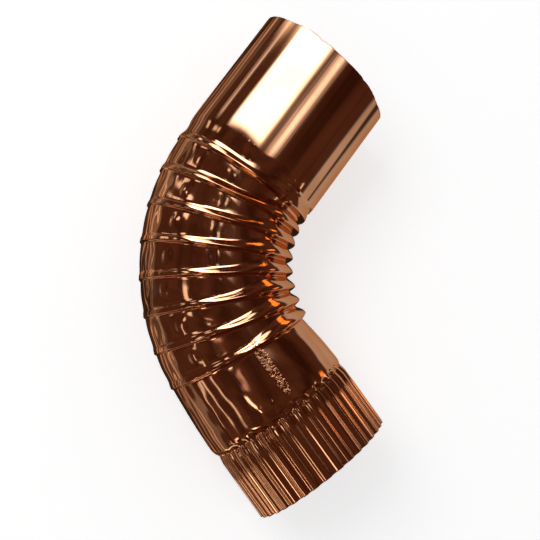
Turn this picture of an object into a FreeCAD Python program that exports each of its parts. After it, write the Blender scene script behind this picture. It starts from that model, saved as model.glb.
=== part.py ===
import FreeCAD, Part
import math
import os

# Round fluted downspout elbow, formed from one length of copper sheet tube: a straight fluted inlet,
# a pleated bend, a plain collar and a crimped outlet that slips into the next pipe.
# It lies on its side with the bend level: +Z up, +Y towards the inlet, +X towards the throat of the bend.
# Lengths are millimetres and angles are degrees. Radii are to the outside of the sheet.

# Sheet
wall = 0.55

# Bend, with the radius measured to the centre line
bend_angle = 72.0
bend_radius = 82.0
pleat_count = 8
bend_flute_share = 0.5

# Inlet, straight and fluted, cut at a slant that leaves the heel side longer
inlet_length = 66.0
inlet_radius = 38.6
inlet_slant = 4.3
flute_count = 8
flute_depth = 2.9

# Pleats: a ramp up to a fold, then a steep drop to the next ring
fold_radius = 39.0
heel_fold_height = 0.7
throat_fold_height = 2.8
fold_ramp = 3.2
fold_drop = 1.4
fold_sag = 2.0
heel_lead = 2.0

# Collar between the last pleat and the crimps, fuller at the heel, with a rolled-in shoulder
collar_length = 28.5
collar_radius = 38.4
collar_heel_bulge = 2.2
collar_slant = 1.4
shoulder_length = 2.0
shoulder_ledge = 0.3

# Outlet, crimped into narrow ribs
crimp_length = 35.0
crimp_radius = 38.3
crimp_count = 36
crimp_depth = 1.5
outlet_slant = 2.1

# Sections are drawn over half a turn, from the heel over the top to the throat, then mirrored
half_turn = math.pi
half_bend = math.radians(bend_angle) / 2
half_arc = bend_radius * half_bend
angle_step = math.radians(0.05)


def flutes(angle, share):
    """Radial height of the flutes, with a valley at the heel and at the throat."""
    return -share * flute_depth / 2 * math.cos(flute_count * angle)


def throat_share(angle):
    """0 at the heel, 1 at the throat."""
    return (1 - math.cos(angle)) / 2


def slanted(length, slant, radius, angle):
    """Distance along the tube to a plane that leans by the slant, further out at the heel."""
    return length + radius * math.cos(angle) * math.tan(math.radians(slant))


def length_scale(station, radius, angle):
    """Length along the sheet for each unit of the centre line."""
    if abs(station) > half_arc:
        return 1.0
    return 1 + radius * math.cos(angle) / bend_radius


# Each row gives the station along the centre line, positive towards the inlet, and the radius.
# A row in a flat cut takes an inset and a lift towards the inlet, which lead to the sheet's inner skin.

def inlet_rim(angle, inset=0.0):
    radius = inlet_radius + flutes(angle, 1.0) - inset
    return half_arc + slanted(inlet_length, inlet_slant, radius, angle), radius


def pleat_row(index, along, height_share, flute_share=bend_flute_share):
    """A row of one pleat, at a distance along the sheet from its fold towards the inlet."""
    fold_station = half_arc - (index + 0.5) * 2 * half_arc / pleat_count

    def row(angle):
        height = heel_fold_height + (throat_fold_height - heel_fold_height) * throat_share(angle)
        radius = fold_radius - height * (1 - height_share) + flutes(angle, flute_share)
        shift = heel_lead * (1 - throat_share(angle)) - fold_sag * math.sin(angle) ** 2
        return fold_station + (shift + along) / length_scale(0.0, fold_radius, angle), radius

    return row


def pleat_rows(index):
    """Foot, fold and tuck of one pleat. The first foot still has the inlet's full flutes."""
    foot_share = 1.0 if index == 0 else bend_flute_share
    return [
        pleat_row(index, fold_ramp, 0.0, foot_share),
        pleat_row(index, 0.0, 1.0),
        pleat_row(index, -fold_drop, 0.0),
    ]


def collar_edge(angle):
    radius = collar_radius + collar_heel_bulge * (1 - throat_share(angle))
    radius += flutes(angle, bend_flute_share)
    length = slanted(collar_length - shoulder_length, collar_slant, radius, angle)
    return -half_arc - length, radius


def shoulder_rim(angle, inset=0.0):
    radius = crimp_radius + shoulder_ledge - inset
    lift = wall if inset else 0.0
    return lift - half_arc - slanted(collar_length, collar_slant, radius, angle), radius


def tube_rows():
    rows = [inlet_rim]
    for index in range(pleat_count):
        rows += pleat_rows(index)
    return rows + [collar_edge, shoulder_rim]


def side_normal(before, after, angle):
    """Outward unit normal of the sheet between two rows, as (along, out)."""
    station = (before[0] + after[0]) / 2
    radius = (before[1] + after[1]) / 2
    along = (after[0] - before[0]) * length_scale(station, radius, angle)
    out = after[1] - before[1]
    size = math.hypot(along, out)
    return out / size, -along / size


def sheet_depth(row, angle):
    """Radial depth of the sheet, more where the section is steep around the tube."""
    change = row(angle + angle_step)[1] - row(angle - angle_step)[1]
    return wall * math.hypot(1.0, change / (2 * angle_step * row(angle)[1]))


def inside_row(rows, place):
    """The row one sheet thickness inside a row, mitred between its two neighbours."""
    middle = rows[place]

    def row(angle):
        here = middle(angle)
        inset = sheet_depth(middle, angle)
        first = side_normal(rows[place - 1](angle), here, angle)
        second = side_normal(here, rows[place + 1](angle), angle)
        spread = 1 + first[0] * second[0] + first[1] * second[1]
        along = inset * (first[0] + second[0]) / spread
        out = inset * (first[1] + second[1]) / spread
        return here[0] - along / length_scale(here[0], here[1], angle), here[1] - out

    def cut_row(angle):
        return middle(angle, sheet_depth(middle, angle))

    return cut_row if place in (0, len(rows) - 1) else row


def point_at(row, angle):
    """A row's point, in a frame centred on the bend's own centre."""
    station, radius = row(angle)
    turn = max(-half_bend, min(half_bend, station / bend_radius))
    beyond = station - turn * bend_radius
    reach = bend_radius + radius * math.cos(angle)
    across = beyond * math.sin(turn) - reach * math.cos(turn)
    along = beyond * math.cos(turn) + reach * math.sin(turn)
    return FreeCAD.Vector(across, along, radius * math.sin(angle))


def wave_section(row):
    """A row's upper half: a shallow curve for each lobe and each valley of the flutes."""
    bounds = [0.0] + [half_turn * (place + 0.5) / flute_count for place in range(flute_count)] + [half_turn]
    edges = []
    for start, finish in zip(bounds, bounds[1:]):
        first, middle, last = [point_at(row, angle) for angle in (start, (start + finish) / 2, finish)]
        curve = Part.BezierCurve()
        curve.setPoles([first, middle * 2 - (first + last) / 2, last])
        edges.append(curve.toShape())
    return edges


def rib_section(length, slant, inset, lift):
    """The upper half of the crimped tube in a slanted plane, as flat-topped ribs."""
    quarter = half_turn / (2 * crimp_count)
    top = crimp_radius - inset
    floor = top - crimp_depth
    corners = []
    for place in range(2 * crimp_count):
        radius = top if place % 4 in (0, 3) else floor
        corners.append(((place + 0.5) * quarter, radius))
    flat = math.cos(quarter / 2)
    places = [(0.0, top * flat)] + corners + [(half_turn, corners[-1][1] * flat)]

    def row_at(radius):
        return lambda angle: (lift - half_arc - slanted(length, slant, radius, angle), radius)

    points = [point_at(row_at(radius), angle) for angle, radius in places]
    return [Part.LineSegment(*ends).toShape() for ends in zip(points, points[1:])]


def ruled(sections):
    """The faces between neighbouring sections."""
    faces = []
    for before, after in zip(sections, sections[1:]):
        faces += [Part.makeRuledSurface(*edges) for edges in zip(before, after)]
    return faces


def flat_between(first, second):
    """The flat face between two half sections in one plane."""
    starts = [Part.Wire(section).OrderedVertexes[0].Point for section in (first, second)]
    finishes = [Part.Wire(section).OrderedVertexes[-1].Point for section in (first, second)]
    ends = [Part.LineSegment(*points).toShape() for points in (starts, finishes)]
    return Part.Face(Part.Wire(Part.__sortEdges__(first + second + ends)))


def elbow():
    rows = tube_rows()
    outside = [wave_section(row) for row in rows]
    inside = [wave_section(inside_row(rows, place)) for place in range(len(rows))]
    rib_depth = wall * math.hypot(1.0, crimp_depth / (crimp_radius * half_turn / crimp_count / 2))
    ribs = [rib_section(collar_length, collar_slant, 0.0, 0.0),
            rib_section(collar_length + crimp_length, outlet_slant, 0.0, 0.0)]
    inner_ribs = [rib_section(collar_length, collar_slant, rib_depth, wall),
                  rib_section(collar_length + crimp_length, outlet_slant, rib_depth, 0.0)]
    faces = ruled(outside) + ruled(inside) + ruled(ribs) + ruled(inner_ribs)
    faces.append(flat_between(outside[0], inside[0]))
    faces.append(flat_between(outside[-1], ribs[0]))
    faces.append(flat_between(inside[-1], inner_ribs[0]))
    faces.append(flat_between(ribs[-1], inner_ribs[-1]))
    faces += [face.mirror(FreeCAD.Vector(0, 0, 0), FreeCAD.Vector(0, 0, 1)) for face in faces]
    shell = Part.makeShell(faces)
    shell.sewShape()
    solid = Part.makeSolid(shell)
    if solid.Volume < 0:
        solid.reverse()
    return solid


def laid_down(solid):
    """Moved so that it lies on z = 0, centred over the origin."""
    box = solid.optimalBoundingBox()
    solid.translate(FreeCAD.Vector(-box.Center.x, -box.Center.y, -box.ZMin))
    return solid


os.makedirs("parts", exist_ok=True)
laid_down(elbow()).exportStep("parts/elbow.step")
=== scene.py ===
import math

import bpy
import numpy as np
from mathutils import Matrix, Vector


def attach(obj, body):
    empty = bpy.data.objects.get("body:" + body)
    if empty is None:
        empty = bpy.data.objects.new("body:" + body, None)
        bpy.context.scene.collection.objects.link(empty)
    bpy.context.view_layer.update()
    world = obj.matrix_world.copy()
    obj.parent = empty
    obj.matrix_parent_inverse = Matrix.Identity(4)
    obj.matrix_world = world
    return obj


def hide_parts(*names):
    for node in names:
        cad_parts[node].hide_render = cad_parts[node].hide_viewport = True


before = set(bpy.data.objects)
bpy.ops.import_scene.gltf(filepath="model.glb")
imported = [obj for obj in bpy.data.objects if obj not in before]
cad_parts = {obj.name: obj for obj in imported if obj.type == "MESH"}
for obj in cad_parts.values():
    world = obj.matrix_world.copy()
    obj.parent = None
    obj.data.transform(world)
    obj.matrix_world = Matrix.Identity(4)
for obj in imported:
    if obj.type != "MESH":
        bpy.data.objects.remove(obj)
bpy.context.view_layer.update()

MM = 0.001

# Elbow sizes in millimetres and degrees, measured as in the solid. Radii are to the outside of the sheet.
WALL = 0.55
BEND_ANGLE = 72.0
BEND_RADIUS = 82.0
BEND_CENTRE = (59.266, -1.522, 38.951)
PLEATS = 8

# Straight inlet with broad lobes parted by grooves, and a neck that is shorter at the throat
INLET_LENGTH = 65.5
INLET_RADIUS = 38.5
INLET_SLANT = 4.3
FLUTES = 8
FLUTE_PITCH = 360.0 / FLUTES
FLUTE_SHIFT = 5.5
LAST_GROOVE = 148.0
WAVE_HEIGHT = 0.35
GROOVE_DEPTH = 0.4
GROOVE_WIDTH = 5.9
NECK_LENGTH = 8.0
NECK_CUT = 0.75

# Cut edge of the inlet: wear, as two waves in radians to a degree, and nicks by angle, half width and depth
RIM_WEAR = 0.12
WEAR_WAVES = (0.47, 0.31)
WEAR_PHASE = 1.0
NICKS = ((62.0, 1.6, 0.5), (79.0, 2.2, 0.9), (84.0, 1.2, 0.5), (121.0, 1.4, 0.4))

# Folds of the bend, each with a ramp up to it and a steep drop under it.
# Their growth towards the throat is a power, and a rise is a share of the height.
FOLD_RADIUS = 38.5
FIRST_FOLD = 1.3
HEEL_FOLD = 0.8
THROAT_FOLD = 3.2
FOLD_GROWTH = 0.7
FOLD_SAG = 2.0
HEEL_LEAD = 2.0
FOLD_DROP = 1.3
THROAT_DROP = 0.9
PANEL_RISE = 0.16
FIRST_RISE = -0.12
LIP_LINES = 0.06
LIP_WAVES = 2

# Ramps, as shares of a ring. Their hollow is a power, and the spans go from heel, 0, to throat, 1.
FACE_RAMP = 0.3
THROAT_RAMP = 0.8
RAMP_HOLLOW = 1.2
RAMP_SPAN = (0.5, 0.85)
ROUNDED_SPAN = (0.6, 0.88)

# Flutes in the bend, as shares of the inlet's: the waves, what is kept over the face, and what the heel
# and the throat add to that
RING_WAVES = 0.8
FACE_FLUTES = 0.1
HEEL_FLUTES = 1.2
THROAT_FLUTES = 0.25

# Heel pads of the rings, each with a crease at its edge and a hollow in each half
HEEL_SWELL = 0.18
PAD_EDGE = 46.0
PAD_INSIDE = 22.0
PAD_OUTSIDE = 8.0
PAD_BOW = 4.0
PAD_DEPTH = 0.4
PAD_ENDS = 0.4
PAD_RAMP = 0.7
PAD_HOLLOW = 0.4
HOLLOW_ANGLE = 27.0
HOLLOW_WIDTH = 11.0

# Collar with a scalloped, rolled-in shoulder. The swell and the roll are powers.
COLLAR_LENGTH = 28.5
COLLAR_RADIUS = 37.5
COLLAR_BULGE = 2.0
COLLAR_SLANT = 1.4
COLLAR_FLUTES = 1.2
COLLAR_SWELL = 1.2
SCALLOP = 1.2
SHOULDER_LENGTH = 4.5
SHOULDER_ROLL = 1.3
SHOULDER_TUCK = 0.7
TUCK_REACH = 1.6

# Crimped outlet with uneven ribs. A rib is given by places across its width and depths there.
# The spread is a share of the width, and the shallowest rib a share of the depth.
CRIMP_LENGTH = 35.0
CRIMP_RADIUS = 38.1
CRIMP_DEPTH = 1.5
CRIMPS = 36
OUTLET_SLANT = 2.1
RIB_PLACES = np.array([0.0, 0.2, 0.31, 0.37, 0.43, 0.54, 0.72, 0.81, 0.9])
RIB_DEPTHS = np.array([0.0, 0.0, 0.07, 0.5, 0.93, 1.0, 0.97, 0.55, 0.07])
RIB_SEED = 7
RIB_SPREAD = 0.5
SHALLOWEST_RIB = 0.6

# Ripples in the sheet: their heights in the inlet and where it was formed, their waves round the tube,
# and their waves along it in radians to a millimetre
INLET_RIPPLE = 0.0015
BEND_RIPPLE = 0.012
RIPPLES = 26
RIPPLE_SEED = 11
RIPPLES_AROUND = (1, 15)
RIPPLES_ALONG = (0.15, 0.75)

# Where the forming sets in, from the start of the bend, and where it ends, from the shoulder
FORMED_START = (14.0, -6.0)
FORMED_END = (-3.0, 6.0)

# Round pressed marks and soft dents: station, angle, reach along, reach around, height
MARKS = (
    (39.5, 56.0, 4.4, 4.2, 0.4),
    (25.9, 54.0, 3.2, 2.8, 0.55),
    (13.8, 51.5, 2.9, 2.5, 0.55),
    (1.4, 47.5, 3.0, 2.6, 0.4),
    (-11.0, 43.0, 3.0, 2.6, 0.4),
    (-24.8, 52.0, 3.8, 3.4, 0.6),
    (-37.6, 52.0, 3.0, 2.7, 0.55),
)
DENTS = (
    (-73.2, 74.0, 2.8, 2.8, 0.5),
    (-73.1, 83.0, 2.8, 2.8, 0.5),
    (-62.0, 68.0, 8.0, 5.0, 0.3),
    (-66.0, 43.0, 14.0, 2.2, 0.3),
    (38.9, 90.0, 3.0, 1.4, -0.10),
    (24.9, 79.0, 2.6, 2.2, -0.10),
    (13.7, 78.0, 2.6, 2.2, -0.10),
    (0.4, 84.0, 3.0, 1.6, -0.12),
    (-15.1, 87.0, 3.0, 1.6, -0.12),
)
MARK_POWER = 4
DENT_POWER = 2

# Small lumps and hollows in the heel of every ring, with the ranges that they are drawn from
HEEL_LUMPS = 5
LUMP_SEED = 5
LUMP_HEIGHT = 0.32
LUMP_SHARES = (0.4, 1.0)
LUMP_SHIFTS = (-4, 5)
LUMP_ANGLES = (10, 42)
LUMP_LENGTHS = (3, 6)
LUMP_WIDTHS = (1.6, 3)

# Scuffed band on the collar: its reach along the centre line, and its angle and half width
SCUFF_REACH = (-75.0, -41.0)
SCUFF_FADE = 5.0
SCUFF_ANGLE = 97.0
SCUFF_WIDTH = 2.6

# Mesh density: columns round the tube, steps along each stretch, and the steps that the inside follows
COLUMNS = CRIMPS * len(RIB_PLACES)
INLET_STEPS = (0.0, 0.005, 0.02, 0.1, 0.25, 0.4, 0.5, 0.6, 0.75, 0.9, 1.0)
INLET_LINED = (0.0, 0.5, 1.0)
NECK_STEPS = np.linspace(0, 1, 10)[1:]
DROP_STEPS = (0.15, 0.32, 0.5, 0.68, 0.85, 1.0)
PANEL_STEPS = np.linspace(0, 1, 9)[1:]
RAMP_STEPS = np.linspace(0, 1, 15)[1:]
COLLAR_STEPS = np.linspace(0, 1, 20)[1:]
COLLAR_LINED = (COLLAR_STEPS[8], COLLAR_STEPS[-1])
SHOULDER_STEPS = (0.15, 0.3, 0.45, 0.6, 0.75, 0.88, 1.0)
CRIMP_STEPS = (0.03, 0.1, 0.3, 0.5, 0.7, 0.9, 0.985, 1.0)

HALF_BEND = math.radians(BEND_ANGLE) / 2
HALF_ARC = BEND_RADIUS * HALF_BEND
PLEAT_PITCH = 2 * HALF_ARC / PLEATS
THETA = np.arange(COLUMNS) * 2 * math.pi / COLUMNS


def smooth_step(value, low, high):
    """0 at the low end, 1 at the high end, level at both."""
    share = np.clip((value - low) / (high - low), 0, 1)
    return share * share * (3 - 2 * share)


def from_heel(theta):
    """Angle from the heel, alike on the two sides."""
    return np.abs((theta + math.pi) % (2 * math.pi) - math.pi)


def throat_share(theta):
    """0 at the heel, 1 at the throat."""
    return (1 - np.cos(theta)) / 2


def flute_angle(theta):
    """Angle from the heel with even flutes. The groove beside the throat sits further round."""
    second = 2 * FLUTE_PITCH + FLUTE_SHIFT
    third = 3 * FLUTE_PITCH + FLUTE_SHIFT
    turn = np.degrees(from_heel(theta))
    even = np.interp(turn, (0, second, LAST_GROOVE, 180), (0, second, third, 180))
    return np.radians(even - FLUTE_SHIFT)


def waves(theta):
    """Broad lobes round the tube."""
    return -WAVE_HEIGHT * np.cos(FLUTES * flute_angle(theta))


def grooves(theta):
    """Narrow grooves between the lobes."""
    pitch = math.radians(FLUTE_PITCH)
    away = (flute_angle(theta) + pitch / 2) % pitch - pitch / 2
    return -GROOVE_DEPTH * np.exp(-(away / math.radians(GROOVE_WIDTH)) ** 2)


def flutes(theta):
    return waves(theta) + grooves(theta)


def ring_flutes(theta):
    """The flutes in the bend, pressed flat over the face and nearly so at the throat."""
    lean = np.cos(theta)
    kept = np.clip(FACE_FLUTES + np.where(lean > 0, HEEL_FLUTES, -THROAT_FLUTES) * lean, 0, 1)
    return kept * (RING_WAVES * waves(theta) + grooves(theta))


def ring_pads(theta, share):
    """Crease at the edge of a ring's heel pad, bowed in between two folds. Share runs along the ring."""
    bow = math.sin(math.pi * share)
    turn = np.degrees(from_heel(theta)) + PAD_BOW * bow
    inside = smooth_step(turn, PAD_EDGE - PAD_INSIDE, PAD_EDGE)
    outside = smooth_step(turn, PAD_EDGE + PAD_OUTSIDE, PAD_EDGE)
    return -PAD_DEPTH * (PAD_ENDS + (1 - PAD_ENDS) * bow) * (inside * outside)


def pad_hollow(theta):
    """Depth of the hollow in each half of a heel pad."""
    return PAD_HOLLOW * np.exp(-((np.degrees(from_heel(theta)) - HOLLOW_ANGLE) / HOLLOW_WIDTH) ** 2)


def stretch(theta):
    """Length along the sheet for each unit of the centre line, inside the bend."""
    return 1 + FOLD_RADIUS * np.cos(theta) / BEND_RADIUS


def fold_height(index, theta):
    """Height of a fold over the ring before it. The inlet runs into the first fold nearly level."""
    if index == 0:
        return np.full_like(theta, FIRST_FOLD)
    return HEEL_FOLD + (THROAT_FOLD - HEEL_FOLD) * throat_share(theta) ** FOLD_GROWTH


def panel_rise(index):
    """Share of a fold's height that the plain stretch before it rises. The first ring is hollow."""
    return FIRST_RISE if index == 1 else PANEL_RISE


def fold_station(index, theta):
    middle = HALF_ARC - (index + 0.5) * PLEAT_PITCH
    shift = HEEL_LEAD * (1 - throat_share(theta)) - FOLD_SAG * np.sin(theta) ** 2
    return middle + shift / stretch(theta)


def rounded_share(theta):
    """0 over the face, 1 at the throat, where the folds are rounded."""
    return smooth_step(throat_share(theta), *ROUNDED_SPAN)


def drop_length(theta):
    """Length of the drop under a fold, along the centre line."""
    return FOLD_DROP / stretch(theta) + THROAT_DROP * rounded_share(theta)


def tuck_station(index, theta):
    """Where the drop under a fold ends."""
    return fold_station(index, theta) - drop_length(theta)


def foot_station(index, theta):
    """Where the ramp up to a fold starts."""
    share = FACE_RAMP + (THROAT_RAMP - FACE_RAMP) * smooth_step(throat_share(theta), *RAMP_SPAN)
    room = PLEAT_PITCH - drop_length(theta)
    return fold_station(index, theta) + share * room


def slanted(length, slant, radius, theta):
    """Distance along the tube to a plane that leans by the slant, further out at the heel."""
    return length + radius * np.cos(theta) * math.tan(math.radians(slant))


def bend_point(station, radius, theta):
    """Points in metres in the part's frame."""
    turn = np.clip(station / BEND_RADIUS, -HALF_BEND, HALF_BEND)
    beyond = station - turn * BEND_RADIUS
    reach = BEND_RADIUS + radius * np.cos(theta)
    across = beyond * np.sin(turn) - reach * np.cos(turn)
    along = beyond * np.cos(turn) + reach * np.sin(turn)
    up = radius * np.sin(theta)
    return (np.stack([across, along, up], -1) + np.array(BEND_CENTRE)) * MM


# A row is its station along the centre line, its radius and angle, and whether the inside follows it.

def ring_radius(index, depth):
    """Radius of the bend before a fold, at a share of the fold's height below its top."""
    return FOLD_RADIUS - fold_height(index, THETA) * depth + ring_flutes(THETA)


def ramp_rows(index):
    """The ramp up to a fold, hollow over the face and rounded at the throat, and the fold itself."""
    foot = foot_station(index, THETA)
    fold = fold_station(index, THETA)
    rounded = rounded_share(THETA)
    rows = []
    for share in RAMP_STEPS:
        hollow = smooth_step(share ** RAMP_HOLLOW, 0, 1)
        ramp = hollow + (math.sin(math.pi / 2 * share) - hollow) * rounded
        rise = panel_rise(index) + (1 - panel_rise(index)) * ramp
        lines = LIP_LINES * math.sin(LIP_WAVES * 2 * math.pi * share) * math.sin(math.pi * share)
        pads = ring_pads(THETA, PAD_RAMP + (1 - PAD_RAMP) * share)
        radius = ring_radius(index, 1 - rise) + lines * (1 - rounded)
        radius = radius + (pads * share if index == 0 else pads)
        rows.append((foot + (fold - foot) * share, radius, THETA, share == 1.0))
    return rows


def drop_rows(index):
    """The short steep drop under a fold."""
    fold = fold_station(index, THETA)
    tuck = tuck_station(index, THETA)
    rounded = rounded_share(THETA)
    rows = []
    for share in DROP_STEPS:
        fall = (1 - math.cos(math.pi * share)) / 2
        fall = fall + (1 - math.cos(math.pi / 2 * share) - fall) * rounded
        radius = ring_radius(index + 1, fall) + ring_pads(THETA, 0.0)
        rows.append((fold + (tuck - fold) * share, radius, THETA, share == 1.0))
    return rows


def panel_rows(index):
    """The plain stretch of a ring, from the tuck under a fold to the foot of the next ramp."""
    tuck = tuck_station(index, THETA)
    foot = foot_station(index + 1, THETA)
    swell = HEEL_SWELL * (1 - throat_share(THETA)) ** 2 - pad_hollow(THETA)
    rows = []
    for share in PANEL_STEPS:
        radius = ring_radius(index + 1, 1 - panel_rise(index + 1) * share)
        radius = radius + swell * math.sin(math.pi * share) + ring_pads(THETA, PAD_RAMP * share)
        rows.append((tuck + (foot - tuck) * share, radius, THETA, share == 1.0))
    return rows


def rim_nicks(theta):
    """How far the inlet's cut edge falls short, alike on the two sides."""
    turn = np.degrees(from_heel(theta))
    first, second = WEAR_WAVES
    short = RIM_WEAR * (np.sin(first * turn) * np.sin(second * turn + WEAR_PHASE)) ** 2
    for angle, width, depth in NICKS:
        short = short + depth * np.exp(-((turn - angle) / width) ** 2)
    return short


def inlet_rows():
    """Straight fluted inlet, which necks in before the first ramp."""
    rim_radius = INLET_RADIUS + flutes(THETA)
    rim = HALF_ARC + slanted(INLET_LENGTH, INLET_SLANT, rim_radius, THETA) - rim_nicks(THETA)
    foot = foot_station(0, THETA)
    foot_radius = ring_radius(0, 1 - panel_rise(0))
    neck = foot + NECK_LENGTH * (1 - NECK_CUT * rounded_share(THETA))
    rows = []
    for share in INLET_STEPS:
        rows.append((rim + (neck - rim) * share, rim_radius, THETA, share in INLET_LINED))
    for share in NECK_STEPS:
        radius = rim_radius + (foot_radius - rim_radius) * smooth_step(share, 0, 1)
        rows.append((neck + (foot - neck) * share, radius, THETA, share == 1.0))
    return rows


def collar_edge():
    """Station and radius of the collar's lower edge, where it rolls in over the ribs."""
    radius = COLLAR_RADIUS + COLLAR_BULGE * (1 - throat_share(THETA)) + COLLAR_FLUTES * flutes(THETA)
    length = slanted(COLLAR_LENGTH - SHOULDER_LENGTH, COLLAR_SLANT, radius, THETA)
    return -HALF_ARC - length + SCALLOP * np.cos(FLUTES * flute_angle(THETA)), radius


def collar_rows():
    tuck = tuck_station(PLEATS - 1, THETA)
    tuck_radius = ring_radius(PLEATS, 1.0) + ring_pads(THETA, 0.0)
    edge, edge_radius = collar_edge()
    rows = []
    for share in COLLAR_STEPS:
        swell = math.sin(math.pi * share / 2) ** COLLAR_SWELL
        radius = tuck_radius + (edge_radius - tuck_radius) * swell
        rows.append((tuck + (edge - tuck) * share, radius, THETA, share in COLLAR_LINED))
    return rows


def crimp_profile():
    """Angle and depth share of each column round the crimped end, with uneven ribs."""
    rng = np.random.default_rng(RIB_SEED)
    widths = 1 + RIB_SPREAD * (rng.random(CRIMPS) - 0.5)
    edges = np.concatenate([[0.0], np.cumsum(widths)])
    edges = edges / edges[-1] * 2 * math.pi
    angles = [start + (finish - start) * RIB_PLACES for start, finish in zip(edges, edges[1:])]
    depths = [RIB_DEPTHS * (SHALLOWEST_RIB + (1 - SHALLOWEST_RIB) * rng.random()) for _ in range(CRIMPS)]
    return np.concatenate(angles), np.concatenate(depths)


def shoulder_tuck(along):
    """Depth of the tuck where the shoulder meets the ribs."""
    return SHOULDER_TUCK * np.exp(-(along / TUCK_REACH) ** 2)


def crimp_rows():
    """The rolled-in shoulder and the ribs."""
    edge, edge_radius = collar_edge()
    angle, share = crimp_profile()
    start = -HALF_ARC - slanted(COLLAR_LENGTH, COLLAR_SLANT, CRIMP_RADIUS, angle)
    finish = -HALF_ARC - slanted(COLLAR_LENGTH + CRIMP_LENGTH, OUTLET_SLANT, CRIMP_RADIUS, angle)
    rows = []
    for step in SHOULDER_STEPS:
        ease = (1 - math.cos(math.pi * step)) / 2
        turn = THETA + (angle - THETA) * ease
        top = edge_radius + (CRIMP_RADIUS - edge_radius) * ease ** SHOULDER_ROLL
        depth = CRIMP_DEPTH * share * ease ** 2
        station = edge + (start - edge) * step
        rows.append((station, top - depth - shoulder_tuck(station - start), turn, step == 1.0))
    for step in CRIMP_STEPS:
        station = start + (finish - start) * step
        radius = CRIMP_RADIUS - CRIMP_DEPTH * share - shoulder_tuck(station - start)
        rows.append((station, radius, angle, step == 1.0))
    return rows


def ripples(station, theta):
    """Slight waves in the sheet, most where it was formed."""
    rng = np.random.default_rng(RIPPLE_SEED)
    total = np.zeros_like(theta)
    for _ in range(RIPPLES):
        around = rng.integers(*RIPPLES_AROUND)
        along = rng.uniform(*RIPPLES_ALONG)
        phase = rng.uniform(0, 2 * math.pi)
        total += np.sin(along * station + around * theta + phase)
    shoulder = -HALF_ARC - COLLAR_LENGTH
    formed = smooth_step(station, HALF_ARC + FORMED_START[0], HALF_ARC + FORMED_START[1])
    formed = formed * smooth_step(station, shoulder + FORMED_END[0], shoulder + FORMED_END[1])
    return total * (INLET_RIPPLE + (BEND_RIPPLE - INLET_RIPPLE) * formed)


def heel_lumps():
    """Lumps and hollows at random in the heel pads, given as the dents are."""
    rng = np.random.default_rng(LUMP_SEED)
    places = []
    for index in range(PLEATS):
        middle = HALF_ARC - (index + 1) * PLEAT_PITCH
        for _ in range(HEEL_LUMPS):
            station = middle + rng.uniform(*LUMP_SHIFTS)
            height = rng.uniform(*LUMP_SHARES) * rng.choice((-1, 1)) * LUMP_HEIGHT
            angle = rng.uniform(*LUMP_ANGLES)
            length = rng.uniform(*LUMP_LENGTHS)
            width = rng.uniform(*LUMP_WIDTHS)
            places.append((station, angle, length, width, height))
    return tuple(places)


def pressed(station, theta, places, power):
    """Heights of the pressed places, alike on the two sides."""
    total = np.zeros_like(theta)
    scale = np.where(np.abs(station) < HALF_ARC, stretch(theta), 1.0)
    for place, angle, length, width, height in places:
        for side in (angle, 360 - angle):
            turn = (theta - math.radians(side) + math.pi) % (2 * math.pi) - math.pi
            around = turn * FOLD_RADIUS / width
            along = (station - place) * scale / length
            total += height * np.exp(-(around ** 2 + along ** 2) ** (power / 2))
    return total


def scuffs(station, theta):
    """How scuffed the sheet is, 0 to 1."""
    away = (np.degrees(from_heel(theta)) - SCUFF_ANGLE) / SCUFF_WIDTH
    low, high = SCUFF_REACH
    lower_end = smooth_step(station, low, low + SCUFF_FADE)
    upper_end = smooth_step(station, high, high - SCUFF_FADE)
    return np.exp(-away ** 2) * lower_end * upper_end


def uneven(row, soft_places):
    """A row with the ripples, marks and soft places of the sheet."""
    station, radius, theta, lined = row
    radius = radius + ripples(station, theta)
    radius = radius + pressed(station, theta, MARKS, MARK_POWER)
    radius = radius + pressed(station, theta, soft_places, DENT_POWER)
    return station, radius, theta, lined


def outside_rows():
    rows = inlet_rows() + ramp_rows(0)
    for index in range(PLEATS - 1):
        rows += drop_rows(index) + panel_rows(index) + ramp_rows(index + 1)
    rows += drop_rows(PLEATS - 1) + collar_rows() + crimp_rows()
    soft_places = DENTS + heel_lumps()
    return [uneven(row, soft_places) for row in rows]


def skin_rows():
    """One closed skin: outside from the inlet to the outlet, then back along the inside."""
    outside = outside_rows()
    inside = [row for row in reversed(outside) if row[3]]
    skin = [(station, radius, theta) for station, radius, theta, _ in outside]
    return skin + [(station, radius - WALL, theta) for station, radius, theta, _ in inside]


def skin_faces(count):
    """Faces between neighbouring rows and columns, closed both ways."""
    rows, columns = np.meshgrid(np.arange(count), np.arange(COLUMNS), indexing="ij")
    below = (rows + 1) % count
    beside = (columns + 1) % COLUMNS
    corners = ((rows, columns), (below, columns), (below, beside), (rows, beside))
    return np.stack([row * COLUMNS + column for row, column in corners], -1).reshape(-1, 4)


def straight_point(station, radius, theta):
    """Points in metres on the tube with its bend straightened."""
    return np.stack([radius * np.cos(theta), radius * np.sin(theta), station], -1) * MM


def elbow_mesh():
    """The skin, with how scuffed it is and its places on the straightened tube for the material."""
    skin = skin_rows()
    points = np.concatenate([bend_point(*row) for row in skin])
    mesh = bpy.data.meshes.new("elbow_skin")
    mesh.from_pydata(points.tolist(), [], skin_faces(len(skin)).tolist())
    mesh.polygons.foreach_set("use_smooth", np.ones(len(mesh.polygons), bool))
    scuffed = mesh.attributes.new("scuffed", "FLOAT", "POINT")
    wear = np.concatenate([scuffs(station, theta) for station, _, theta in skin])
    scuffed.data.foreach_set("value", wear)
    straight = mesh.attributes.new("straight", "FLOAT_VECTOR", "POINT")
    unrolled = np.concatenate([straight_point(*row) for row in skin])
    straight.data.foreach_set("vector", unrolled.ravel())
    mesh.update()
    return mesh


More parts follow.
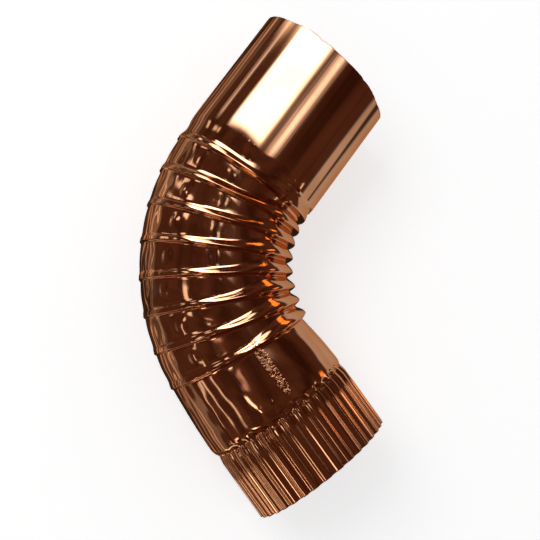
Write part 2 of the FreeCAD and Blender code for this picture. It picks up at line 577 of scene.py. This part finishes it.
def node_material(name):
    """A new material, with its nodes and links."""
    material = bpy.data.materials.new(name)
    material.use_nodes = True
    return material, material.node_tree.nodes, material.node_tree.links


# Octaves in a noise texture
NOISE_DETAIL = 3.0


def noise(nodes, links, place, scale, detail=NOISE_DETAIL):
    texture = nodes.new("ShaderNodeTexNoise")
    texture.inputs["Scale"].default_value = scale
    texture.inputs["Detail"].default_value = detail
    links.new(place, texture.inputs["Vector"])
    return texture.outputs["Fac"]


def two_tones(nodes, links, value, span, colours):
    """A colour between two, over a span of values."""
    ramp = nodes.new("ShaderNodeValToRGB")
    for end in (0, 1):
        ramp.color_ramp.elements[end].position = span[end]
        ramp.color_ramp.elements[end].color = (*colours[end], 1)
    links.new(value, ramp.inputs["Fac"])
    return ramp.outputs["Color"]


def added(nodes, links, first, second):
    """The sum of two shaders."""
    both = nodes.new("ShaderNodeAddShader")
    links.new(first, both.inputs[0])
    links.new(second, both.inputs[1])
    return both.outputs[0]


# Polished copper: two tones and their gloss, lines drawn along the tube, and pits where it is scuffed.
# Depths are in metres, and the scales of the textures are in cells to a metre.
COPPER_TONES = ((0.66, 0.345, 0.20), (0.74, 0.40, 0.24))
COPPER_EDGE = (0.8, 0.5, 0.35, 1)
TONE_SCALE = 45.0
TONE_SPAN = (0.35, 0.65)
ROUGHNESS = (0.05, 0.12)
DRAWN_SCALE = (420, 420, 12)
DRAWN_DETAIL = 2.0
DRAWN_DEPTH = 0.00004
PIT_SCALE = 900.0
PIT_SPAN = (0.48, 0.72)
PIT_DEPTH = 0.0005


def drawn_lines(nodes, links):
    """Fine lines along the tube, as a normal."""
    straight = nodes.new("ShaderNodeAttribute")
    straight.attribute_name = "straight"
    spread = nodes.new("ShaderNodeMapping")
    spread.inputs["Scale"].default_value = DRAWN_SCALE
    links.new(straight.outputs["Vector"], spread.inputs["Vector"])
    bump = nodes.new("ShaderNodeBump")
    bump.inputs["Strength"].default_value = 1.0
    bump.inputs["Distance"].default_value = DRAWN_DEPTH
    lines = noise(nodes, links, spread.outputs["Vector"], 1.0, DRAWN_DETAIL)
    links.new(lines, bump.inputs["Height"])
    return bump.outputs["Normal"]


def scuff_pits(nodes, links, place, normal):
    """Pits where the sheet is scuffed, on top of another normal."""
    scuffed = nodes.new("ShaderNodeAttribute")
    scuffed.attribute_name = "scuffed"
    pits = nodes.new("ShaderNodeMapRange")
    pits.inputs["From Min"].default_value = PIT_SPAN[0]
    pits.inputs["From Max"].default_value = PIT_SPAN[1]
    links.new(noise(nodes, links, place, PIT_SCALE), pits.inputs["Value"])
    bump = nodes.new("ShaderNodeBump")
    bump.inputs["Distance"].default_value = PIT_DEPTH
    links.new(scuffed.outputs["Fac"], bump.inputs["Strength"])
    links.new(pits.outputs["Result"], bump.inputs["Height"])
    links.new(normal, bump.inputs["Normal"])
    return bump.outputs["Normal"]


def copper_material():
    material, nodes, links = node_material("polished_copper")
    shader = nodes["Principled BSDF"]
    shader.inputs["Metallic"].default_value = 1.0
    shader.inputs["Specular Tint"].default_value = COPPER_EDGE
    place = nodes.new("ShaderNodeTexCoord").outputs["Object"]
    tone = noise(nodes, links, place, TONE_SCALE)
    links.new(two_tones(nodes, links, tone, TONE_SPAN, COPPER_TONES), shader.inputs["Base Color"])
    gloss = nodes.new("ShaderNodeMapRange")
    gloss.inputs["To Min"].default_value = ROUGHNESS[0]
    gloss.inputs["To Max"].default_value = ROUGHNESS[1]
    links.new(tone, gloss.inputs["Value"])
    links.new(gloss.outputs["Result"], shader.inputs["Roughness"])
    normal = scuff_pits(nodes, links, place, drawn_lines(nodes, links))
    links.new(normal, shader.inputs["Normal"])
    return material


# Pale floor under the object, with a low backdrop far round it, in metres
PAPER = (0.86, 0.86, 0.86, 1)
FLOOR_GLOW = 0.62
FLOOR_SIZE = 24.0
FLOOR_GAP = 0.0002
BACKDROP_RADIUS = 11.0
BACKDROP_HEIGHT = 0.6
BACKDROP_SIDES = 96


def seen_directly(nodes, links):
    """1 on camera, glossy and transmission rays."""
    path = nodes.new("ShaderNodeLightPath")
    result = path.outputs["Is Camera Ray"]
    for name in ("Is Glossy Ray", "Is Transmission Ray"):
        either = nodes.new("ShaderNodeMath")
        either.operation = "MAXIMUM"
        links.new(result, either.inputs[0])
        links.new(path.outputs[name], either.inputs[1])
        result = either.outputs[0]
    return result


def floor_material():
    """Paper that takes the shadow, with a glow on the rays that see it directly."""
    material, nodes, links = node_material("pale_floor")
    nodes.remove(nodes["Principled BSDF"])
    paper = nodes.new("ShaderNodeBsdfDiffuse")
    paper.inputs["Color"].default_value = PAPER
    level = nodes.new("ShaderNodeMath")
    level.operation = "MULTIPLY"
    level.inputs[1].default_value = FLOOR_GLOW
    links.new(seen_directly(nodes, links), level.inputs[0])
    glow = nodes.new("ShaderNodeEmission")
    links.new(level.outputs[0], glow.inputs["Strength"])
    both = added(nodes, links, paper.outputs[0], glow.outputs[0])
    links.new(both, nodes["Material Output"].inputs["Surface"])
    return material


def add_floor():
    paper = floor_material()
    bpy.ops.mesh.primitive_plane_add(size=FLOOR_SIZE, location=(0, 0, -FLOOR_GAP))
    floor = bpy.context.object
    floor.name = "floor"
    bpy.ops.mesh.primitive_cylinder_add(vertices=BACKDROP_SIDES, radius=BACKDROP_RADIUS,
                                        depth=2 * BACKDROP_HEIGHT, end_fill_type="NOTHING")
    backdrop = bpy.context.object
    backdrop.name = "backdrop"
    for sheet in (floor, backdrop):
        sheet.data.materials.append(paper)


# Colours of the panels and of the mats of painted shade
WHITE = (1.0, 0.97, 0.93)
CREAM = (1.0, 0.93, 0.82)
AMBER = (1.0, 0.85, 0.65)
ORANGE = (1.0, 0.36, 0.06)
ROSE = (1.0, 0.74, 0.68)
PALE = (1.0, 0.94, 0.9)
TAN = (1.0, 0.78, 0.64)
ROOM_TONE = (1.0, 0.42, 0.26)


def glow_material(name, colour, clear):
    """Light with the radiance of each point. A clear one adds to what lies behind it."""
    material, nodes, links = node_material(name)
    nodes.remove(nodes["Principled BSDF"])
    level = nodes.new("ShaderNodeAttribute")
    level.attribute_name = "radiance"
    glow = nodes.new("ShaderNodeEmission")
    glow.inputs["Color"].default_value = (*colour, 1)
    links.new(level.outputs["Fac"], glow.inputs["Strength"])
    light = glow.outputs[0]
    if clear:
        gauze = nodes.new("ShaderNodeBsdfTransparent")
        light = added(nodes, links, light, gauze.outputs[0])
    links.new(light, nodes["Material Output"].inputs["Surface"])
    return material


def add_panel(name, points, levels, colour, clear=True):
    """A studio panel, or a mat of painted shade and highlight, that shows in the metal: a grid of points
    with a radiance at each.
    """
    count, width = levels.shape
    faces = []
    for row in range(count - 1):
        for column in range(width - 1):
            corner = row * width + column
            faces.append((corner, corner + 1, corner + width + 1, corner + width))
    mesh = bpy.data.meshes.new(name)
    mesh.from_pydata(points.reshape(-1, 3).tolist(), [], faces)
    attribute = mesh.attributes.new("radiance", "FLOAT", "POINT")
    attribute.data.foreach_set("value", levels.ravel())
    mesh.materials.append(glow_material(name, colour, clear))
    panel = bpy.data.objects.new(name, mesh)
    bpy.context.scene.collection.objects.link(panel)
    panel.visible_camera = False
    panel.visible_diffuse = False
    panel.visible_shadow = False


def soft_edges(values, span, fades):
    """1 inside a span, falling to 0 at its two ends."""
    low, high = span
    return smooth_step(values, low, low + fades[0]) * smooth_step(values, high, high - fades[1])


# Arched softbox over the inlet, in metres and degrees: its reach along the inlet and its span round it
ARCH_CENTRE = (0.012, 0.074, 0.070)
ARCH_AXIS = (0.588, 0.809, 0.0)
ARCH_RADIUS = 0.25
ARCH_REACH = (0.020, 0.140)
ARCH_END_FADES = (0.008, 0.008)
ARCH_SPAN = (-22.0, 86.0)
ARCH_FADES = (24.0, 14.0)
ARCH_FALLOFF = 2.5
ARCH_RADIANCE = 5.0
ARCH_POINTS = (61, 9)


def add_arch():
    axis = np.array(ARCH_AXIS)
    side = np.array([-ARCH_AXIS[1], ARCH_AXIS[0], 0.0])
    up = np.array([0.0, 0.0, 1.0])
    turns = np.linspace(*ARCH_SPAN, ARCH_POINTS[0])[:, None]
    reach = np.linspace(*ARCH_REACH, ARCH_POINTS[1])[None, :]
    spoke = np.cos(np.radians(turns))[..., None] * up + np.sin(np.radians(turns))[..., None] * side
    points = np.array(ARCH_CENTRE) + ARCH_RADIUS * spoke + reach[..., None] * axis
    across = soft_edges(turns, ARCH_SPAN, ARCH_FADES) ** ARCH_FALLOFF
    levels = across * soft_edges(reach, ARCH_REACH, ARCH_END_FADES)
    add_panel("arch_softbox", points, ARCH_RADIANCE * levels, WHITE)


# Places that the other panels stand round, in metres, and how far the ones round the whole elbow stand off
MIDDLE = (0.0, 0.0, 0.0)
RIBS = (0.030, -0.101, 0.039)
LIPS = (0.0, -0.055, 0.060)
RINGS = (-0.060, 0.0, 0.065)
THROAT = (0.030, 0.0, 0.060)
ROOM_REACH = 0.9

# Panels: name, azimuths, elevations, fade of the edges, radiance, colour, place and distance from it
PANEL_POINTS = (41, 21)
PANELS = (
    ("back_panel", (88, 121), (2, 38), 6, 2.6, CREAM, MIDDLE, ROOM_REACH),
    ("heel_panel", (138, 151), (3, 12), 4, 1.3, CREAM, MIDDLE, ROOM_REACH),
    ("loop_panel", (123, 137), (22, 40), 4, 1.8, CREAM, RINGS, 0.10),
    ("lip_panel", (150, 172), (22, 33), 4, 1.4, CREAM, LIPS, 0.12),
    ("streak_panel", (106, 122), (69, 73), 1.5, 1.6, CREAM, MIDDLE, ROOM_REACH),
    ("hook_panel", (72, 88), (76, 79), 1.0, 1.6, CREAM, MIDDLE, ROOM_REACH),
    ("front_panel", (-132, -108), (26, 35), 2.5, 2.6, AMBER, MIDDLE, ROOM_REACH),
    ("spot_panel", (-154, -136), (58, 67), 3, 3.0, CREAM, MIDDLE, ROOM_REACH),
    ("upper_card", (14, 25), (-7, 10), 4, 2.0, ORANGE, THROAT, 0.40),
    ("lower_card", (46, 74), (-7, 10), 4, 2.0, ORANGE, THROAT, 0.40),
    ("crease_panel", (193, 224), (18, 25), 3, 1.1, CREAM, MIDDLE, ROOM_REACH),
    ("pillow_panel", (186, 198), (60, 76), 5, 0.75, ROSE, MIDDLE, ROOM_REACH),
    ("left_panel", (205, 240), (8, 13), 2, 1.1, CREAM, RIBS, 0.16),
    ("left_line", (214, 238), (35, 40), 2, 2.0, CREAM, RIBS, 0.16),
    ("edge_card", (208, 238), (-8, 1), 2, 2.5, CREAM, RIBS, 0.10),
    ("right_panel", (12, 45), (7, 14), 2.5, 1.5, CREAM, RIBS, 0.13),
    ("right_line", (26, 50), (35, 40), 2, 1.2, CREAM, RIBS, 0.13),
)


def add_sky_panel(name, azimuth, elevation, fade, radiance, colour, place, distance):
    """A panel on a sphere round a place, between two azimuths and two elevations."""
    turn = np.linspace(*azimuth, PANEL_POINTS[0])[:, None]
    rise = np.linspace(*elevation, PANEL_POINTS[1])[None, :]
    level = np.cos(np.radians(rise)) * distance
    points = np.stack([
        level * np.cos(np.radians(turn)),
        level * np.sin(np.radians(turn)),
        np.sin(np.radians(rise)) * distance + 0 * turn,
    ], -1) + np.array(place)
    levels = soft_edges(turn, azimuth, (fade, fade)) * soft_edges(rise, elevation, (fade, fade))
    add_panel(name, points, radiance * levels, colour)


# Mats of painted shade on the floor, seen only in the metal: mostly dark, they cover the part of the floor
# that the metal shows, with the elbow's shadow painted dark next to its outline and bright bands painted in
# as highlights.
# The margin and the end are in millimetres from the elbow's outline, the outer edge is a factor of size,
# and the centre and the height are in metres.
SHADE_MAT_CENTRE = (-0.023, -0.0015)
SHADE_MAT_MARGIN = -15.0
SHADE_MAT_END = 20.0
SHADE_MAT_OUTER = 40.0
SHADE_MAT_HEIGHT = 0.0005
EDGE_POINTS = 60
SHADE_MAT_POINTS = 181

# Radiance of the mats, as distances out in metres and the level at each: a painted shadow next to the
# outline, then painted highlights and painted shade at the heel, and a dimmer painted floor reflection at
# the throat
# Painted shadow next to the heel's outline, with narrow bright bands of painted highlight
HEEL_SHADE_AND_GLINTS = ((0.0, 0.05), (0.043, 0.08), (0.050, 1.3), (0.057, 0.10), (0.074, 0.12), (0.080, 1.1),
            (0.087, 0.14), (0.112, 0.16), (0.125, 1.2), (0.140, 0.3), (0.165, 0.22), (0.185, 1.5),
            (0.215, 0.26), (0.415, 0.3), (0.615, 0.12))
# Painted shadow next to the throat's outline, then a dimmer band of painted floor reflection, then painted
# shade
THROAT_SHADE = ((0.0, 0.03), (0.034, 0.04), (0.042, 0.6), (0.165, 0.6), (0.215, 0.06))

# Share of the heel mat's painted light along the elbow, from outlet to inlet: full in the bend, less at the
# ends
BEND_STARTS = (0.25, 0.4)
BEND_ENDS = (0.72, 0.58)
ENDS_LIGHT = 0.35

# Patches of painted highlight in that light: the level that they vary, then height, waves and phase of each
PATCH_LEVEL = 0.75
PATCHES = ((0.25, 61, 0), (0.2, 97, 1))


def outline_edge(theta):
    """Points on the floor along one side of the elbow, from outlet to inlet."""
    ends = (-HALF_ARC - COLLAR_LENGTH - CRIMP_LENGTH - SHADE_MAT_END, HALF_ARC + INLET_LENGTH + SHADE_MAT_END)
    station = np.linspace(*ends, EDGE_POINTS)
    return bend_point(station, FOLD_RADIUS + SHADE_MAT_MARGIN, theta + 0 * station)[:, :2]


def add_shade_mat(name, edge, levels, shares, colour):
    """A mat of painted shade and highlight, seen only in the metal, from an edge of the outline outwards,
    with a share of its levels at each point of the edge.
    """
    centre = np.array(SHADE_MAT_CENTRE)
    spokes = (edge - centre)[:, None, :]
    scale = np.geomspace(1.0, SHADE_MAT_OUTER, SHADE_MAT_POINTS)[None, :, None]
    places = centre + spokes * scale
    points = np.concatenate([places, np.full(places.shape[:2] + (1,), SHADE_MAT_HEIGHT)], -1)
    away = np.linalg.norm(spokes * (scale - 1), axis=-1)
    add_panel(name, points, np.interp(away, *zip(*levels)) * shares[:, None], colour, clear=False)


def heel_light(count):
    """Share of the heel mat's painted shade and highlight levels at each point of its edge."""
    along = np.linspace(0, 1, count)
    in_bend = smooth_step(along, *BEND_STARTS) * smooth_step(along, *BEND_ENDS)
    patchy = PATCH_LEVEL
    for height, turns, phase in PATCHES:
        patchy = patchy + height * np.sin(turns * along + phase)
    return (ENDS_LIGHT + (1 - ENDS_LIGHT) * in_bend) * patchy


# Far mat of painted shade in the tone of the room, seen only in the metal, round the others, with a rim
# that rises past the backdrop, in metres
FAR_CENTRE = (-0.2, 0.0)
FAR_REACH = (0.45, 10.0)
FAR_RIM = 0.65
FAR_RIM_START = 0.75
FAR_RADIANCE = 0.09
FAR_POINTS = (73, 25)


def add_far_shade_mat():
    turns = np.linspace(0, 2 * math.pi, FAR_POINTS[0])[:, None]
    reach = np.geomspace(*FAR_REACH, FAR_POINTS[1])[None, :]
    across = FAR_CENTRE[0] + reach * np.cos(turns)
    along = FAR_CENTRE[1] + reach * np.sin(turns)
    height = 2 * SHADE_MAT_HEIGHT + FAR_RIM * smooth_step(reach, FAR_RIM_START * FAR_REACH[1], FAR_REACH[1])
    points = np.stack([across, along, height + 0 * turns], -1)
    # A dark sheet of painted shade in the room's tone, seen only in the metal
    add_panel("far_painted_shade", points, np.full(across.shape, FAR_RADIANCE), ROOM_TONE, clear=False)


def add_shade_mats():
    heel = outline_edge(0.0)
    throat = outline_edge(math.pi)
    outlet = (heel[:1] + throat[:1]) / 2
    inlet = (heel[-1:] + throat[-1:]) / 2
    heel_edge = np.concatenate([outlet, heel, inlet])
    throat_edge = np.concatenate([outlet, throat, inlet])
    # Mats of painted shade and painted highlight, seen only in the metal
    add_shade_mat("heel_painted_shade", heel_edge, HEEL_SHADE_AND_GLINTS, heel_light(len(heel_edge)), TAN)
    add_shade_mat("throat_painted_shade", throat_edge, THROAT_SHADE, np.ones(len(throat_edge)), PALE)
    add_far_shade_mat()


# The room in the metal: two tones in soft clutter, and the plain fill that the floor gets
ROOM_TONES = ((0.035, 0.011, 0.005), (0.12, 0.05, 0.031))
ROOM_SPAN = (0.35, 0.68)
ROOM_FILL = (0.30, 0.30, 0.30, 1)
CLUTTER_SCALE = 2.2


def add_world():
    """A dim, uneven, warm room in the metal, and plain fill on the floor."""
    world = bpy.data.worlds.new("dim_room")
    bpy.context.scene.world = world
    world.use_nodes = True
    nodes = world.node_tree.nodes
    links = world.node_tree.links
    place = nodes.new("ShaderNodeTexCoord").outputs["Generated"]
    clutter = noise(nodes, links, place, CLUTTER_SCALE)
    room = two_tones(nodes, links, clutter, ROOM_SPAN, ROOM_TONES)
    tone = nodes.new("ShaderNodeMix")
    tone.data_type = "RGBA"
    tone.inputs["A"].default_value = ROOM_FILL
    links.new(room, tone.inputs["B"])
    links.new(seen_directly(nodes, links), tone.inputs["Factor"])
    links.new(tone.outputs["Result"], nodes["Background"].inputs["Color"])


# Lamp for the floor, in metres
FILL_PLACE = (-0.5, 0.4, 1.0)
FILL_SIZE = 0.6
FILL_RADIANCE = 2.4


def add_floor_lamp():
    lamp = bpy.data.lights.new("floor_fill", "AREA")
    lamp.size = FILL_SIZE
    lamp.energy = FILL_RADIANCE * math.pi * FILL_SIZE ** 2
    holder = bpy.data.objects.new("floor_fill", lamp)
    bpy.context.scene.collection.objects.link(holder)
    holder.location = FILL_PLACE
    holder.rotation_euler = (-Vector(FILL_PLACE)).to_track_quat("-Z", "Y").to_euler()
    holder.visible_glossy = False


def add_lights():
    add_world()
    add_arch()
    for panel in PANELS:
        add_sky_panel(*panel)
    add_shade_mats()
    add_floor_lamp()


# Camera, fitted to the photograph's outline: place in millimetres from the bend's centre, turns in degrees
CAMERA_PLACE = (-118.65, -59.30, 518.24)
CAMERA_PAN = -7.059
CAMERA_TILT = 6.300
CAMERA_ROLL = -0.031
FOCAL_PIXELS = 1046.5
IMAGE_PIXELS = 540
SENSOR = 36.0
CLIP_START = 0.01


def add_camera():
    data = bpy.data.cameras.new("camera")
    data.sensor_width = SENSOR
    data.lens = FOCAL_PIXELS / IMAGE_PIXELS * SENSOR
    data.clip_start = CLIP_START
    camera = bpy.data.objects.new("camera", data)
    bpy.context.scene.collection.objects.link(camera)
    turn = (Matrix.Rotation(math.radians(CAMERA_PAN), 4, "Y")
            @ Matrix.Rotation(math.radians(CAMERA_TILT), 4, "X")
            @ Matrix.Rotation(math.radians(CAMERA_ROLL), 4, "Z"))
    place = (Vector(CAMERA_PLACE) + Vector(BEND_CENTRE)) * MM
    camera.matrix_world = Matrix.Translation(place) @ turn
    bpy.context.scene.camera = camera


def add_elbow():
    elbow = bpy.data.objects.new("elbow_copper", elbow_mesh())
    bpy.context.scene.collection.objects.link(elbow)
    elbow.data.materials.append(copper_material())
    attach(elbow, "root")
    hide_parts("elbow")


add_elbow()
add_floor()
add_lights()
add_camera()
bpy.context.scene.view_settings.view_transform = "Standard"

bpy.context.view_layer.update()
